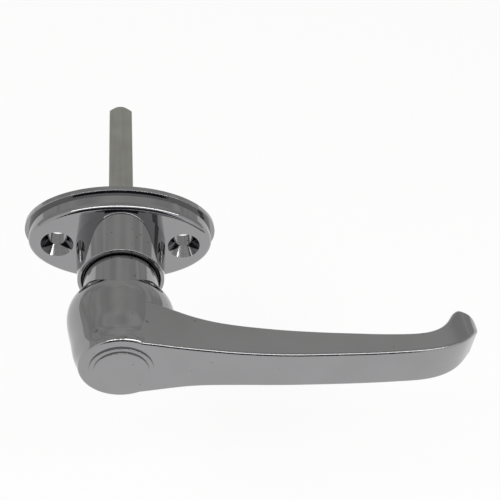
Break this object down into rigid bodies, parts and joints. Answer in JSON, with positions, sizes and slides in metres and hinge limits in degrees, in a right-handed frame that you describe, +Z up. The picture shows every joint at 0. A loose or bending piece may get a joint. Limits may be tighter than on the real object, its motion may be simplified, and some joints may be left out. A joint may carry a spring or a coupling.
{
  "type": "lever door handle",
  "caption": "Chromed lever handle with a hooked tip, turning in an oval screw-on rose and driving a square spindle.",
  "frame": {"origin": "centre of the rose's mounting face, on the spindle axis", "axes": "+X along the lever towards its hooked tip, +Y through the door along the spindle, +Z up"},
  "size_m": [0.1643, 0.1451, 0.0426],
  "materials": {
    "chrome": "bright polished plate",
    "zinc_steel": "dull zinc grey",
    "steel": "machined",
    "spring_steel": "oiled dark",
    "acetal": "natural moulded",
    "nitrile": "matt"
  },
  "bodies": {
    "rose": {"rose_plate": "chrome", "bearing_bush": "acetal", "thrust_washer": "acetal", "stop_pin": "steel"},
    "handle": {"lever_handle": "chrome", "front_cap": "chrome", "spindle": "zinc_steel", "spindle_screw": "steel", "lock_washer": "spring_steel", "o_ring_seal": "nitrile", "backup_washer": "steel", "spring_washer": "spring_steel", "retaining_ring": "spring_steel"}
  },
  "joints": [
    {"name": "handle_turn", "type": "hinge", "parent": "rose", "child": "handle", "pos_m": [0, 0, 0], "axis": [0, 1, 0], "range_deg": [-90, 90]}
  ]
}
